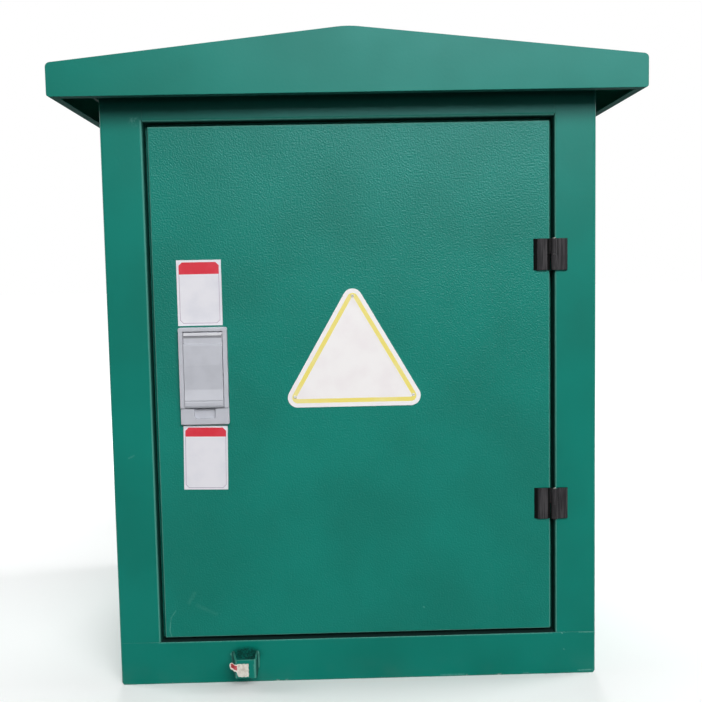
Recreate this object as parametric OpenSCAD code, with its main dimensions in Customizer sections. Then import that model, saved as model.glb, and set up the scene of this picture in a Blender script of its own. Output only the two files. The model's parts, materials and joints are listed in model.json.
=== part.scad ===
// Outdoor cable branch cabinet: a folded sheet body on a base frame, an inset door on two
// surface hinges, a panel lock behind a weather flap, and a gabled roof cap.
// Millimetres. Origin on the ground under the middle of the body, front towards -Y, +Z up.

/* [Body] */
// Width of the body
body_w = 750; // [650:1:1000]
// Depth of the body
body_d = 650; // [500:1:900]
// Height of the body, up to the top of its ceiling
body_h = 920; // [850:1:1200]
// Thickness of the sheet
sheet = 2; // [1.5:0.1:2.5]
// Outer radius of a fold
bend_r = 4; // [3:0.5:5]
// Depth of the folds round the corners of the body
corner_fold = 40; // [30:1:60]

/* [Base] */
// Height of the base rails
base_h = 67; // [60:1:100]
// Width of the flanges on the ground
base_foot = 45; // [40:1:60]
// Diameter of an anchor hole
anchor_d = 14; // [11:0.5:18]
// Anchor holes from the sides of the body
anchor_inset_x = 75; // [60:1:120]
// Anchor holes from the front and back of the body
anchor_inset_y = 25; // [22:1:28]
// Cut at the lower corners of the front rail
toe_cut = 5; // [2:0.5:8]

/* [Floor] */
// Clear diameter of a cable grommet
cable_d = 100; // [60:1:110]
// Cable entries from the middle of the cabinet
cable_x = 150; // [110:1:200]
// Cable entries behind the middle of the cabinet
cable_y = 85; // [75:1:100]

/* [Door opening] */
// Width of the posts beside the opening
post_w = 64; // [55:1:90]
// Height of the rail over the opening
head_h = 46; // [40:1:80]
// Depth from the front of the body to the door stop
rebate = 27; // [27:1:34]
// Width of the door stop
stop_w = 18; // [15:1:20]
// Thickness of the door gasket
gasket_t = 4; // [2:0.5:4]

/* [Door] */
// Gap round the door
door_gap = 7; // [5:0.5:9]
// Depth of the door pan
door_t = 22; // [20:0.5:22]
// Width of the lips behind the door pan
door_lip = 14; // [10:1:18]
// Rounding of the door edges
door_edge_r = 3; // [2.5:0.5:5]

/* [Hinges] */
// Height of a hinge
hinge_h = 48; // [40:1:70]
// Hinges from the ends of the door
hinge_inset = 202; // [120:1:260]
// Width of the door leaf from the hinge axis
door_leaf_w = 30.5; // [24:0.5:36]
// Width of the frame leaf from the hinge axis
frame_leaf_w = 22; // [18:0.5:30]
// Thickness of the leaves
leaf_t = 5; // [4:0.5:5]
// Radius of the hinge barrel
barrel_r = 5; // [4.6:0.1:5.4]
// Groove between the door leaf and the hinge axis
leaf_groove = 10; // [8:0.5:12]
// Diameter of the hinge pin
hinge_pin_d = 5; // [4:0.5:6]
// Distance of the hinge axis in front of the door
hinge_proud = 6; // [5.8:0.1:8]

/* [Lock] */
// Width of the lock housing
lock_w = 74; // [70:1:80]
// Height of the lock housing
lock_h = 150; // [140:1:170]
// Lock centre from the free edge of the door
lock_inset = 74.5; // [66:0.5:90]
// Lock centre above the lower edge of the door
lock_rise = 413; // [330:1:480]
// How far the lock housing stands off the door
lock_proud = 9; // [8:0.5:12]
// Height of the lock housing below the flap
lock_sill = 26; // [22:1:30]
// Width of the weather flap
flap_w = 59; // [54:0.5:60]
// Diameter of the flap pin
flap_pin_d = 3; // [2:0.5:3.5]
// Diameter of the key cylinder
core_d = 22; // [18:1:28]

/* [Earth bracket] */
// Middle of the earth bracket from the middle of the cabinet
bracket_x = -175.5; // [-230:0.5:-100]
// Width of the earth bracket
bracket_w = 33; // [26:1:60]
// Height of the earth bracket
bracket_h = 29; // [20:1:34]
// How far the earth bracket stands off the rail
bracket_d = 37; // [22:1:45]
// Underside of the earth bracket above the ground
bracket_z = 21; // [10:0.5:24]
// Thickness of the earth bracket
bracket_t = 3; // [2:0.5:4]
// How far the left leg of the earth bracket is splayed
bracket_splay = 8; // [0:0.5:12]

/* [Inside] */
// Height of the cable rail
rail_z = 380; // [250:1:600]
// Width of the cable rail
rail_w = 41; // [30:1:60]
// Depth of the cable rail
rail_d = 21; // [18:1:40]
// Height of the earth bar over the floor
earth_rise = 40; // [25:1:70]
// Length of the raised part of the earth bar
earth_l = 320; // [260:1:400]
// Width of the earth bar
earth_w = 30; // [25:1:40]
// Diameter of an earth bar hole
earth_hole_d = 11; // [9:0.5:13]

/* [Roof] */
// Overhang of the roof round the body
overhang = 60; // [50:1:90]
// Height of the roof fascia at the eaves
fascia_h = 48; // [40:1:80]
// Rise of the ridge over the eaves
ridge_rise = 46; // [25:1:90]
// How far the fascia hangs below the top of the body
fascia_drop = 19; // [10:1:30]
// Width of the lips under the fascia
roof_lip = 15; // [10:1:25]
// Rounding at the eaves
eave_r = 7; // [4:0.5:9]
// Rounding of the ridge
ridge_r = 150; // [20:1:160]

/* [Hidden] */
half_w = body_w / 2;
half_d = body_d / 2;
front = -half_d;
in_x = half_w - sheet;
top_z = body_h - sheet;
head_z = top_z - head_h;
open_x = half_w - post_w;
stop_y = front + rebate;
stop_x = open_x - stop_w;
door_x = open_x - door_gap;
door_z0 = base_h + door_gap;
door_z1 = head_z - door_gap;
door_back = front + door_t;
gasket_w = stop_w - 6;
gasket_x = open_x - 4;
// Slack of loose sheets, of parts let into others, and of running pins
loose = 1;
snug = 0.5;
run = 0.05;
fold_steps = 5;

// Hinges
axis_x = open_x - 2;
axis_y = front - hinge_proud;
knuckle_gap = 0.3;
leaf_gap = 0.6;
leaf_bevel = 6;
web_t = 2.5;
hinge_zs = [door_z0 + hinge_inset, door_z1 - hinge_inset];

// Lock
lock_x = -door_x + lock_inset;
lock_z0 = door_z0 + lock_rise - lock_h / 2;
lock_z1 = lock_z0 + lock_h;
flap_z0 = lock_z0 + lock_sill;
pocket_w = flap_w + 1.5;
pocket_z1 = lock_z1 - 6;
pocket_y = front - lock_proud + 7;
flap_r = 3.2;
flap_y = front - lock_proud + flap_r + 0.3;
flap_z = pocket_z1 - flap_r - 1.3;
flap_l = flap_z - flap_z0 - 1;
flap_back = pocket_y - loose - flap_y;
lock_mid_z = (flap_z0 + pocket_z1) / 2;
cavity_w = 44;
cavity_h = 84;
body_lw = 58;
body_lh = 108;
body_back = front + 20;
cavity_back = front + 16;
notch_w = 32;
notch_h = 16;
notch_d = 5.5;
sill_proud = lock_proud - 2;
notch_r = 2.5;
cam_l = 72;
cam_t = 4;

// Door stiffeners
hat_w = 30;
hat_flange = 15;
hat_r = 4;
hat_end_gap = 4;
hat_back_gap = 2;

// Roof
roof_x = half_w + overhang;
roof_y = half_d + overhang;
eave_z0 = body_h - fascia_drop;
eave_z1 = eave_z0 + fascia_h;
ridge_z = eave_z1 + ridge_rise;
pitch = atan(ridge_rise / roof_x);
bearer_inset = 30;
bearer_w = 35;
bearer_end = 40;
bearer_slack = 0.2;

// Floor and what stands on it
floor_z = base_h + sheet;
floor_y0 = stop_y + sheet;
rear_fold = 15;
head_fold = 25;
floor_y1 = half_d - sheet - rear_fold - 5;
floor_seam = -40;
entry_r = cable_d / 2 + 8;
grommet_r = entry_r + 8;
grommet_t = 4;
rail_y = cable_y + 65;
earth_y = half_d - 90;
earth_t = 4;
earth_foot = 30;
earth_margin = 60;
earth_pitch = earth_l - 2 * earth_margin;

green = [0.07, 0.42, 0.36];
black = [0.05, 0.05, 0.05];
grey = [0.72, 0.73, 0.76];
steel = [0.7, 0.7, 0.7];
copper = [0.7, 0.4, 0.25];

// One of the names above, or all of them

$fn = 48;

// Left-hand normal, signed turn and turning of plane vectors
function left_of(d) = [-d.y, d.x];
function turn(a, b) = atan2(a.x * b.y - a.y * b.x, a.x * b.x + a.y * b.y);
function spun(v, a) = [v.x * cos(a) - v.y * sin(a), v.x * sin(a) + v.y * cos(a)];
function heading(a, b) = [b.x - a.x, b.y - a.y] / norm([b.x - a.x, b.y - a.y]);
function backwards(l) = [for (i = [len(l) - 1:-1:0]) l[i]];

// Arc in the corner p of a line that turns from d0 to d1, shifted left by s
function fold(p, d0, d1, r, s, steps) =
  let (a = turn(d0, d1),
       k = sign(a),
       c = [p.x, p.y] - d0 * r * tan(abs(a) / 2) + left_of(d0) * r * k)
  [for (i = [0:steps]) c - spun(left_of(d0), a * i / steps) * (r * k - s)];

// Line of a folded sheet, shifted left by s; a corner may carry its own outer radius
function sheet_line(path, s, t) =
  [for (i = [0:len(path) - 1])
    let (first = i == 0,
         last = i == len(path) - 1,
         d0 = first ? heading(path[0], path[1]) : heading(path[i - 1], path[i]),
         d1 = last ? d0 : heading(path[i], path[i + 1]),
         r = len(path[i]) > 2 ? path[i][2] : bend_r)
    each first || last
      ? [[path[i].x, path[i].y] + left_of(d0) * s]
      : fold(path[i], d0, d1, turn(d0, d1) > 0 ? r : r - t, s, fold_steps)];

// Cross-section of a sheet that lies on the left of its path
function folded(path, t) = concat(sheet_line(path, 0, t), backwards(sheet_line(path, t, t)));

// Closed outline whose third values are corner radii
function rounded(pts) =
  let (n = len(pts))
  [for (i = [0:n - 1])
    let (p = pts[i],
         d0 = heading(pts[(i + n - 1) % n], p),
         d1 = heading(p, pts[(i + 1) % n]))
    each p[2] > 0 ? fold(p, d0, d1, p[2], 0, fold_steps) : [[p.x, p.y]]];

// Box between two corners
module block(a, b) {
  translate(a)
    cube(b - a);
}

// Outline in X and Y, standing from z0 to z1
module upright(z0, z1, pts) {
  translate([0, 0, z0])
    linear_extrude(z1 - z0)
      polygon(pts);
}

// Outline in Y and Z, running from x0 to x1
module crosswise(x0, x1, pts) {
  translate([x0, 0, 0])
    rotate([90, 0, 90])
      linear_extrude(x1 - x0)
        polygon(pts);
}

// Outline in X and Z, running from y0 to y1
module lengthwise(y0, y1, pts) {
  translate([0, y1, 0])
    rotate([90, 0, 0])
      linear_extrude(y1 - y0)
        polygon(pts);
}

module both_sides() {
  children();
  mirror([1, 0, 0])
    children();
}

// Base rail across the front: face with folded ends, sill and foot
module base_rail() {
  difference() {
    union() {
      upright(0, base_h, folded([[-half_w, front + corner_fold], [-half_w, front],
        [half_w, front], [half_w, front + corner_fold]], sheet));
      block([-in_x, front + sheet, 0], [in_x, front + base_foot, sheet]);
      block([-in_x, front + sheet, base_h - sheet], [in_x, stop_y, base_h]);
    }
    for (s = [-1, 1])
      translate([s * (half_w - anchor_inset_x), front + anchor_inset_y, -1])
        cylinder(d = anchor_d, h = sheet + 2);
    both_sides()
      lengthwise(front - 1, front + corner_fold + 1,
        [[half_w - toe_cut, -1], [half_w + 1, -1], [half_w + 1, toe_cut]]);
  }
}

module base_front_rail() {
  color(green) {
    base_rail();
    block([-stop_x, stop_y, base_h - sheet], [stop_x, stop_y + sheet, base_h + stop_w]);
  }
}

module base_rear_rail() {
  color(green)
    mirror([0, 1, 0])
      base_rail();
}

module side_rail() {
  end = half_d - corner_fold;
  block([in_x, -end, 0], [half_w, end, base_h]);
  block([in_x - base_foot, -half_d + base_foot, 0], [in_x, half_d - base_foot, sheet]);
  block([in_x - base_foot, stop_y, base_h - sheet], [in_x, -stop_y, base_h]);
}

module base_left_rail() {
  color(green)
    mirror([1, 0, 0])
      side_rail();
}

module base_right_rail() {
  color(green)
    side_rail();
}

module floor_front_plate() {
  color(green)
    block([loose - in_x, floor_y0, base_h], [in_x - loose, floor_seam - loose / 2, floor_z]);
}

module floor_rear_plate() {
  color(green)
    difference() {
      block([loose - in_x, floor_seam + loose / 2, base_h], [in_x - loose, floor_y1, floor_z]);
      for (s = [-1, 1])
        translate([s * cable_x, cable_y, base_h - 1])
          cylinder(r = entry_r, h = sheet + 2, $fn = 96);
    }
}

// Rubber rings with a groove for the floor plate
module cable_grommets() {
  r0 = cable_d / 2;
  r1 = entry_r - snug;
  z1 = floor_z + 0.2;
  z0 = base_h - 0.2;
  color(black)
    for (s = [-1, 1])
      translate([s * cable_x, cable_y, 0])
        rotate_extrude($fn = 96)
          polygon([[r0, z0 - grommet_t], [grommet_r, z0 - grommet_t], [grommet_r, z0],
            [r1, z0], [r1, z1], [grommet_r, z1], [grommet_r, z1 + grommet_t],
            [r0, z1 + grommet_t]]);
}

module front_post() {
  upright(base_h, top_z, folded([[open_x, stop_y], [open_x, front], [half_w, front],
    [half_w, front + corner_fold]], sheet));
  block([stop_x, stop_y, base_h], [open_x + sheet, stop_y + sheet, head_z]);
}

module left_front_post() {
  color(green)
    mirror([1, 0, 0])
      front_post();
}

module right_front_post() {
  color(green)
    front_post();
}

module rear_post() {
  upright(base_h, top_z, folded([[half_w, half_d - corner_fold], [half_w, half_d],
    [open_x, half_d], [open_x, half_d - rear_fold]], sheet));
}

module left_rear_post() {
  color(green)
    mirror([1, 0, 0])
      rear_post();
}

module right_rear_post() {
  color(green)
    rear_post();
}

module front_head_rail() {
  color(green) {
    crosswise(-open_x, open_x, folded([[front + head_fold, top_z], [front, top_z],
      [front, head_z], [stop_y + sheet, head_z]], sheet));
    block([-stop_x, stop_y, head_z - stop_w], [stop_x, stop_y + sheet, head_z + sheet / 2]);
  }
}

module rear_head_rail() {
  color(green)
    mirror([0, 1, 0])
      crosswise(-open_x, open_x, folded([[front + head_fold, top_z], [front, top_z],
        [front, head_z], [front + rear_fold, head_z]], sheet));
}

module side_wall() {
  end = half_d - corner_fold;
  block([in_x, -end, base_h], [half_w, end, top_z]);
}

module left_wall() {
  color(green)
    mirror([1, 0, 0])
      side_wall();
}

module right_wall() {
  color(green)
    side_wall();
}

// Plate screwed over the opening at the back
module rear_cover() {
  x = open_x + 22;
  color(green)
    block([-x, half_d, base_h - 22], [x, half_d + sheet, head_z + 22]);
}

module ceiling_plate() {
  color(green)
    block([-half_w, front, top_z], [half_w, half_d, body_h]);
}

// Outer line of the roof, from the right lip over the ridge to the left one
function roof_path(lip) = [[roof_x - lip, eave_z0], [roof_x, eave_z0],
  [roof_x, eave_z1, eave_r], [0, ridge_z, ridge_r], [-roof_x, eave_z1, eave_r],
  [-roof_x, eave_z0], [lip - roof_x, eave_z0]];

module roof_sheet() {
  color(green)
    lengthwise(sheet - roof_y, roof_y - sheet, folded(roof_path(roof_lip), sheet));
}

module gable() {
  lengthwise(-roof_y, sheet - roof_y, sheet_line(roof_path(roof_lip), 0, sheet));
  block([roof_lip - roof_x, sheet - roof_y, eave_z0],
    [roof_x - roof_lip, sheet + roof_lip - roof_y, eave_z0 + sheet]);
}

module roof_front_gable() {
  color(green)
    gable();
}

module roof_rear_gable() {
  color(green)
    mirror([0, 1, 0])
      gable();
}

// Top of a bearer under the roof slope
function under_roof(x) = eave_z1 + (roof_x - x) * tan(pitch) - sheet / cos(pitch) - bearer_slack;

// Folded sections that carry the roof on the ceiling
module roof_bearers() {
  x1 = half_w - bearer_inset;
  x0 = x1 - bearer_w;
  color(green)
    both_sides()
      lengthwise(bearer_end - half_d, half_d - bearer_end, folded([[x0, body_h], [x1, body_h],
        [x1, under_roof(x1)], [x0, under_roof(x0)]], sheet));
}

module door_gasket() {
  x1 = gasket_x;
  x0 = gasket_x - gasket_w;
  z0 = base_h + 4;
  z1 = head_z - 4;
  color(black)
    difference() {
      block([-x1, stop_y - gasket_t, z0], [x1, stop_y, z1]);
      block([-x0, stop_y - gasket_t - 1, z0 + gasket_w], [x0, stop_y + 1, z1 - gasket_w]);
    }
}

// Plan outline of a leaf that runs away from the hinge axis with a bevelled far edge
function leaf_plan(x0, x1, bevel) = [[axis_x + x0, front], [axis_x + x1, front],
  [axis_x + x1 - bevel * sign(x1), front - leaf_t], [axis_x + x0, front - leaf_t]];

module frame_leaf(z) {
  z0 = z - hinge_h / 2;
  clear = barrel_r + leaf_gap;
  color(black)
    difference() {
      union() {
        upright(z0, z0 + hinge_h, leaf_plan(clear, frame_leaf_w, 1.5));
        upright(z0, z - knuckle_gap / 2, [[axis_x, axis_y + 1], [axis_x + clear + 1, front - 1],
          [axis_x + clear + 1, front - leaf_t], [axis_x, front - leaf_t]]);
        translate([axis_x, axis_y, z0])
          cylinder(r = barrel_r, h = hinge_h / 2 - knuckle_gap / 2);
      }
      translate([axis_x, axis_y, z0 + 4])
        cylinder(d = hinge_pin_d + 0.02, h = hinge_h);
    }
}

module door_leaf(z) {
  z0 = z - hinge_h / 2;
  color(black)
    difference() {
      union() {
        upright(z0, z0 + hinge_h, leaf_plan(-leaf_groove, -door_leaf_w, leaf_bevel));
        block([axis_x - leaf_groove - 1, front - web_t, z0],
          [axis_x - barrel_r - leaf_gap, front, z0 + hinge_h]);
        upright(z + knuckle_gap / 2, z0 + hinge_h, [[axis_x, axis_y + barrel_r - 0.2],
          [axis_x, axis_y], [axis_x - leaf_groove - 1, front - web_t],
          [axis_x - leaf_groove - 1, front]]);
        translate([axis_x, axis_y, z + knuckle_gap / 2])
          cylinder(r = barrel_r, h = hinge_h / 2 - knuckle_gap / 2);
      }
      translate([axis_x, axis_y, z - 1])
        cylinder(d = hinge_pin_d + 2 * run, h = hinge_h);
    }
}

// Pin fixed in the lower knuckle, with its end just proud of the upper one
module hinge_pin(z) {
  color(steel)
    translate([axis_x, axis_y, z - hinge_h / 2 + 4])
      cylinder(d = hinge_pin_d, h = hinge_h - 3.2);
}

module lower_hinge_frame_leaf() {
  frame_leaf(hinge_zs[0]);
}

module upper_hinge_frame_leaf() {
  frame_leaf(hinge_zs[1]);
}

module lower_hinge_door_leaf() {
  door_leaf(hinge_zs[0]);
}

module upper_hinge_door_leaf() {
  door_leaf(hinge_zs[1]);
}

module lower_hinge_pin() {
  hinge_pin(hinge_zs[0]);
}

module upper_hinge_pin() {
  hinge_pin(hinge_zs[1]);
}

// U-shaped bracket on the front base rail, cut off flush at the rail
module earth_bracket() {
  x0 = bracket_x - bracket_w / 2;
  x1 = bracket_x + bracket_w / 2;
  y = front - bracket_d;
  z1 = bracket_z + bracket_h;
  color(green)
    difference() {
      upright(bracket_z, z1, folded([[x0 - 2 * bracket_splay, front + bracket_d], [x0, y, bracket_t + 2],
        [x1, y, bracket_t + 2], [x1, front + bracket_d]], bracket_t));
      block([-half_w, front, bracket_z - 1], [half_w, front + 2 * bracket_d, z1 + 1]);
    }
}

// Slotted channel from wall to wall that cable clamps slide in
module cable_rail() {
  lip = rail_w * 0.23;
  y0 = rail_y;
  y1 = rail_y + rail_d;
  z1 = rail_z + rail_w;
  color(steel)
    crosswise(-in_x, in_x, folded([[y0, rail_z + lip], [y0, rail_z], [y1, rail_z],
      [y1, z1], [y0, z1], [y0, z1 - lip]], sheet));
}

// Bent bar that stands on the floor, with two terminal holes
module earth_bar() {
  x0 = earth_l / 2;
  x1 = x0 + earth_foot;
  z1 = floor_z + earth_rise;
  color(copper)
    difference() {
      lengthwise(earth_y - earth_w / 2, earth_y + earth_w / 2,
        folded([[-x1, floor_z], [-x0, floor_z, earth_t + 3], [-x0, z1 - earth_t, earth_t + 3],
          [x0, z1 - earth_t, earth_t + 3], [x0, floor_z, earth_t + 3], [x1, floor_z]], earth_t));
      for (s = [-1, 1])
        translate([s * earth_pitch / 2, earth_y, z1 - earth_t - 5])
          cylinder(d = earth_hole_d, h = earth_t + 10);
    }
}

// Solid with the outline of the door pan, drawn in by inset, from y0 to y1
module pan(inset, y0, y1, r) {
  x = door_x - inset;
  z0 = door_z0 + inset;
  z1 = door_z1 - inset;
  intersection() {
    upright(z0, z1, rounded([[-x, y0, r], [x, y0, r], [x, y1, 0], [-x, y1, 0]]));
    crosswise(-x, x, rounded([[y0, z0, r], [y1, z0, 0], [y1, z1, 0], [y0, z1, r]]));
  }
}

module door_panel() {
  color(green)
    difference() {
      pan(0, front, door_back, door_edge_r);
      pan(sheet, front + sheet, door_back - sheet, door_edge_r - sheet);
      block([door_lip - door_x, door_back - sheet - 1, door_z0 + door_lip],
        [door_x - door_lip, door_back + 1, door_z1 - door_lip]);
      block([lock_x - body_lw / 2 - snug, front - 1, lock_mid_z - body_lh / 2 - snug],
        [lock_x + body_lw / 2 + snug, front + sheet + 1, lock_mid_z + body_lh / 2 + snug]);
    }
}

// Hat sections inside the door
module door_stiffeners() {
  y0 = front + sheet;
  y1 = door_back - 2 * sheet - hat_back_gap;
  x0 = hat_w / 2;
  x1 = x0 + hat_flange;
  color(green)
    both_sides()
      translate([door_x * 0.42, 0, 0])
        upright(door_z0 + door_lip + hat_end_gap, door_z1 - door_lip - hat_end_gap,
          folded([[-x1, y0], [-x0, y0, hat_r], [-x0, y1, hat_r], [x0, y1, hat_r],
            [x0, y0, hat_r], [x1, y0]], sheet));
}

// Plastic housing let into the door, with a pocket for the flap and a finger notch below it
module lock_housing() {
  x0 = lock_x - lock_w / 2;
  x1 = lock_x + lock_w / 2;
  y0 = front - lock_proud;
  color(grey)
    difference() {
      union() {
        intersection() {
          lengthwise(y0 - 1, front, rounded([[x0, lock_z0, 3], [x1, lock_z0, 3],
            [x1, lock_z1, 3], [x0, lock_z1, 3]]));
          crosswise(x0 - 1, x1 + 1, rounded([[front, lock_z0, 0], [front, lock_z1, 0],
            [y0, lock_z1, 2], [y0, flap_z0, 1], [front - sill_proud, flap_z0 - 0.5, 1],
            [front - sill_proud, lock_z0, 2]]));
        }
        block([lock_x - body_lw / 2, front, lock_mid_z - body_lh / 2],
          [lock_x + body_lw / 2, body_back, lock_mid_z + body_lh / 2]);
      }
      block([lock_x - pocket_w / 2, y0 - 1, flap_z0], [lock_x + pocket_w / 2, pocket_y, pocket_z1]);
      block([lock_x - cavity_w / 2, y0 - 1, lock_mid_z - cavity_h / 2],
        [lock_x + cavity_w / 2, cavity_back, lock_mid_z + cavity_h / 2]);
      lengthwise(front - sill_proud - 1, front - sill_proud + notch_d,
        rounded([[lock_x - notch_w / 2, flap_z0 - notch_h, notch_r],
          [lock_x + notch_w / 2, flap_z0 - notch_h, notch_r],
          [lock_x + notch_w / 2, flap_z0 + 2, 0], [lock_x - notch_w / 2, flap_z0 + 2, 0]]));
      translate([lock_x - pocket_w / 2 - 4, flap_y, flap_z])
        rotate([0, 90, 0])
          cylinder(d = flap_pin_d + 0.02, h = pocket_w + 8);
    }
}

// Key cylinder in the recess
module lock_core() {
  y0 = cavity_back - 13;
  color(steel)
    difference() {
      translate([lock_x, cavity_back, lock_mid_z])
        rotate([90, 0, 0])
          cylinder(d = core_d, h = 13);
      block([lock_x - 1.2, y0 - 1, lock_mid_z - 5], [lock_x + 1.2, y0 + 5, lock_mid_z + 5]);
    }
}

// Tongue behind the door, turned upright as when unlocked
module lock_cam() {
  y1 = body_back + 10;
  color(steel) {
    translate([lock_x, body_back + 9, lock_mid_z])
      rotate([90, 0, 0])
        cylinder(d = 12, h = 9);
    lengthwise(y1 - cam_t, y1, rounded([[lock_x - 10, lock_mid_z - 12, 6],
      [lock_x + 10, lock_mid_z - 12, 6], [lock_x + 10, lock_mid_z + cam_l, 4],
      [lock_x - 10, lock_mid_z + cam_l, 4]]));
  }
}

module flap_pin() {
  color(steel)
    translate([lock_x - pocket_w / 2 - 4, flap_y, flap_z])
      rotate([0, 90, 0])
        cylinder(d = flap_pin_d, h = pocket_w + 8);
}

// Side outline of the flap: each point is how far out, how far down as a share of the length, radius
function flap_side(pts) = rounded([for (p = pts) [flap_y - p[0], flap_z - p[1] * flap_l, p[2]]]);

module lock_flap() {
  x0 = lock_x - flap_w / 2;
  x1 = lock_x + flap_w / 2;
  back = -flap_back;
  color(grey)
    difference() {
      union() {
        translate([x0, flap_y, flap_z])
          rotate([0, 90, 0])
            cylinder(r = flap_r, h = flap_w);
        crosswise(x0, x1, flap_side([[-1.2, 0, 0], [1.8, 0, 0], [2.6, 0.05, 0.6],
          [2.8, 0.125, 0.6], [6, 0.15, 1], [6.6, 0.42, 0], [4.6, 0.75, 12], [7.8, 0.895, 1.5],
          [7.2, 0.91, 0], [7.6, 0.93, 0], [7.4, 0.97, 1], [5.6, 1, 1], [back, 1, 0],
          [back, 0.06, 0]]));
      }
      block([x0 + 3, flap_y - 2.2, flap_z - 0.93 * flap_l], [x1 - 3, flap_y + 10, flap_z - 0.14 * flap_l]);
      translate([x0 - 1, flap_y, flap_z])
        rotate([0, 90, 0])
          cylinder(d = flap_pin_d + 2 * run, h = flap_w + 2);
    }
}

base_front_rail();
base_rear_rail();
base_left_rail();
base_right_rail();
floor_front_plate();
floor_rear_plate();
cable_grommets();
left_front_post();
right_front_post();
left_rear_post();
right_rear_post();
front_head_rail();
rear_head_rail();
left_wall();
right_wall();
rear_cover();
ceiling_plate();
roof_sheet();
roof_front_gable();
roof_rear_gable();
roof_bearers();
door_gasket();
upper_hinge_frame_leaf();
lower_hinge_frame_leaf();
upper_hinge_pin();
lower_hinge_pin();
earth_bracket();
cable_rail();
earth_bar();
door_panel();
door_stiffeners();
upper_hinge_door_leaf();
lower_hinge_door_leaf();
lock_housing();
lock_core();
lock_cam();
flap_pin();
lock_flap();
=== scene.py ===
"""Looks of an outdoor cable branch cabinet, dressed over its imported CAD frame.

Metres, in the frame of the part: origin on the ground under the middle of the body, front towards -Y.
"""

import json
import math

import bmesh
import bpy
from mathutils import Matrix, Vector


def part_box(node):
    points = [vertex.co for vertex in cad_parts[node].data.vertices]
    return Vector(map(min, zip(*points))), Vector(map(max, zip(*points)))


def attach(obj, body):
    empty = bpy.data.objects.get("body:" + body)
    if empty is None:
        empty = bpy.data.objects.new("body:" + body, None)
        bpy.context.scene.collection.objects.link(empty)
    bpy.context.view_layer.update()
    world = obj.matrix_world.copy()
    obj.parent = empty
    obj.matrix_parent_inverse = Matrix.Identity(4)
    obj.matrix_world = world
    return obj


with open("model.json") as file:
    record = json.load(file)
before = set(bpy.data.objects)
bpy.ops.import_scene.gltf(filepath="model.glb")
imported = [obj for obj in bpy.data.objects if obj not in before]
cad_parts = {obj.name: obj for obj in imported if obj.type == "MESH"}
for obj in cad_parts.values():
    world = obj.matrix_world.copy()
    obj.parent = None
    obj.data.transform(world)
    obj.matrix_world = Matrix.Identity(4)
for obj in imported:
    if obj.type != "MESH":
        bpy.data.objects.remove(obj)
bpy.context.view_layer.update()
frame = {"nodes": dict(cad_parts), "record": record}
nodes = frame["nodes"]
scene = bpy.context.scene

# Camera, fitted to the edges of the body, the door and the roof
IMAGE_PX = 702
FOCAL_PX = 960.949
SENSOR_MM = 36.0
EYE = Vector((-0.0291, -1.79754, 0.6454))
YAW = 0.01739
PITCH = 0.08449
ROLL = 0.019485


def make_camera():
    """Stands the camera at the viewing point and turns it by yaw, pitch and roll."""
    ahead = Vector((math.sin(YAW) * math.cos(PITCH), math.cos(YAW) * math.cos(PITCH), -math.sin(PITCH)))
    level = Vector((math.cos(YAW), -math.sin(YAW), 0.0))
    above = level.cross(ahead)
    right = level * math.cos(ROLL) - above * math.sin(ROLL)
    up = level * math.sin(ROLL) + above * math.cos(ROLL)
    data = bpy.data.cameras.new("camera")
    data.sensor_width = SENSOR_MM
    data.lens = SENSOR_MM * FOCAL_PX / IMAGE_PX
    data.clip_start = 0.01
    camera = bpy.data.objects.new("camera", data)
    turn = Matrix((right, up, -ahead)).transposed()
    camera.matrix_world = Matrix.Translation(EYE) @ turn.to_4x4()
    scene.collection.objects.link(camera)
    scene.camera = camera


make_camera()


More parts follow.
